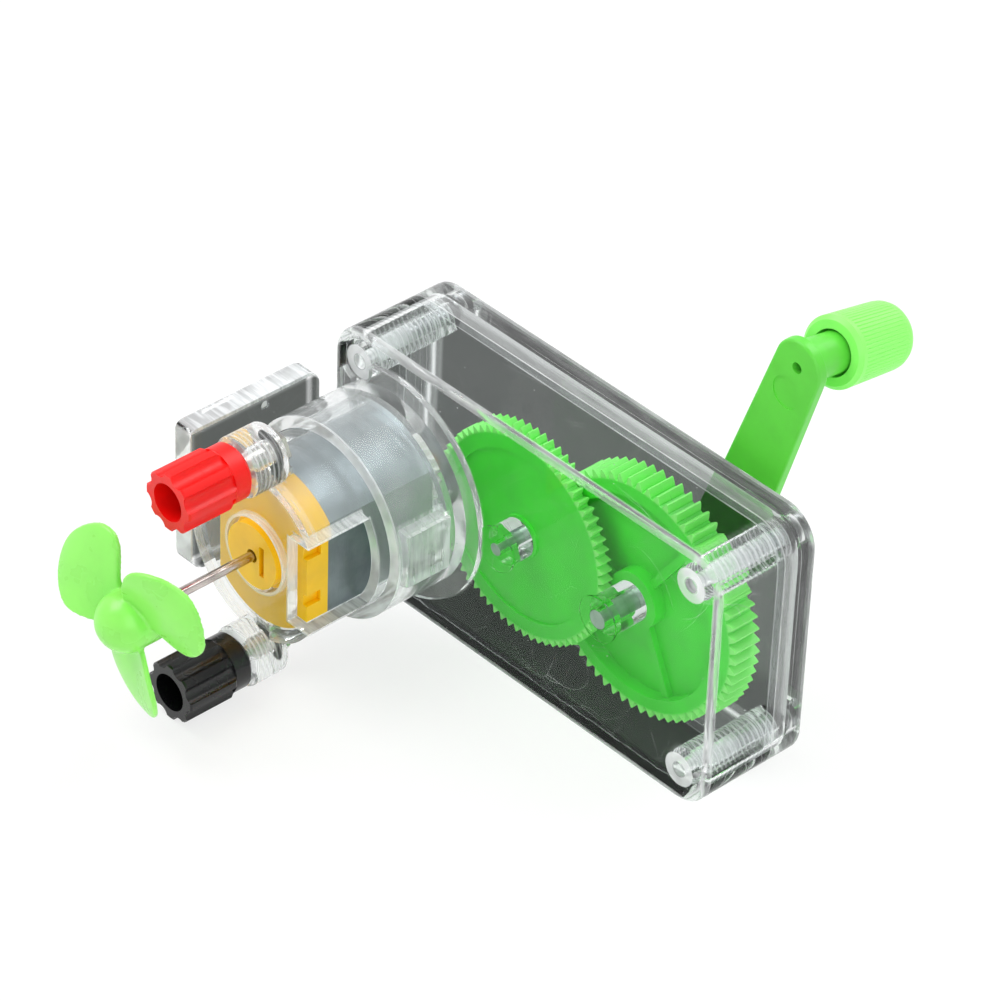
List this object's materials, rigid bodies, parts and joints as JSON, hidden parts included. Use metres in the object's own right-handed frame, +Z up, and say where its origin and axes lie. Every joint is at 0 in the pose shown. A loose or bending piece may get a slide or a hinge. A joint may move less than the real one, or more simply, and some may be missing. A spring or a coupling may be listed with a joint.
{
  "type": "hand crank generator",
  "caption": "Small hand crank generator: a clear gearbox with green gears, a toy motor in a clear holder, red and black binding posts, a propeller and a green crank with a knob.",
  "frame": {"origin": "middle of the gearbox's flat bottom face, on which the generator lies", "axes": "+Z up, +X along the gearbox towards the crank axis, -Y towards the propeller, so the crank is at +Y"},
  "size_m": [0.0834, 0.1002, 0.0664],
  "materials": {
    "clear_plastic": "clear moulded polycarbonate, gloss",
    "green_plastic": "bright green acetal, satin",
    "arm_green": "green moulded plastic, satin",
    "knob_green": "light green moulded plastic, satin",
    "propeller_green": "light yellow-green plastic, gloss",
    "red_plastic": "red moulded plastic, gloss",
    "black_plastic": "black moulded plastic, gloss",
    "yellow_plastic": "yellow moulded plastic, satin",
    "can_steel": "nickel-plated sheet steel",
    "shaft_steel": "ground steel rod",
    "screw_steel": "zinc-plated steel",
    "pinion_plastic": "white acetal",
    "bronze": "sintered bronze",
    "brass": "stamped brass",
    "plated_brass": "nickel-plated brass",
    "copper_wire": "enamelled copper wire",
    "copper": "turned copper on a plastic core",
    "ferrite": "sintered ferrite",
    "core_steel": "stacked silicon steel sheets"
  },
  "bodies": {
    "housing": {"front_case": "clear_plastic", "back_cover": "clear_plastic", "case_screws": "screw_steel", "idler_axle": "shaft_steel", "motor_can": "can_steel", "motor_end_cap": "yellow_plastic", "motor_bearings": "bronze", "motor_magnets": "ferrite", "motor_brushes": "brass", "motor_tabs": "brass", "motor_holder": "clear_plastic", "terminal_contacts": "plated_brass", "terminal_nuts": "screw_steel", "terminal_studs": "plated_brass"},
    "crank": {"crank_gear": "green_plastic", "crank_shaft": "shaft_steel", "crank_arm": "arm_green", "hub_screw": "screw_steel", "hub_washer": "screw_steel"},
    "knob": {"crank_knob": "knob_green"},
    "idler": {"idler_gear": "green_plastic"},
    "rotor": {"motor_pinion": "pinion_plastic", "motor_shaft": "shaft_steel", "armature_core": "core_steel", "armature_windings": "copper_wire", "commutator": "copper", "propeller": "propeller_green"},
    "red_cap": {"red_post_cap": "red_plastic"},
    "black_cap": {"black_post_cap": "black_plastic"}
  },
  "joints": [
    {"name": "crank_spin", "type": "hinge", "parent": "housing", "child": "crank", "pos_m": [0.017, 0, 0.0219], "axis": [0, 1, 0], "continuous": true},
    {"name": "knob_spin", "type": "hinge", "parent": "crank", "child": "knob", "pos_m": [0.03035, 0.0134, 0.06299], "axis": [-0.0748, 0.9703, -0.2301], "continuous": true},
    {"name": "idler_spin", "type": "hinge", "parent": "housing", "child": "idler", "pos_m": [-0.0043, 0, 0.0219], "axis": [0, 1, 0], "continuous": true},
    {"name": "rotor_spin", "type": "hinge", "parent": "housing", "child": "rotor", "pos_m": [-0.0258, 0, 0.0219], "axis": [0, 1, 0], "continuous": true},
    {"name": "red_cap_unscrew", "type": "slide", "parent": "housing", "child": "red_cap", "axis": [0, -1, 0], "range_m": [0, 0.0015]},
    {"name": "black_cap_unscrew", "type": "slide", "parent": "housing", "child": "black_cap", "axis": [0, -1, 0], "range_m": [0, 0.0015]}
  ],
  "couplings": [
    {"joint": "idler_spin", "follows": "rotor_spin", "ratio": -0.26471},
    {"joint": "crank_spin", "follows": "rotor_spin", "ratio": 0.038425}
  ]
}
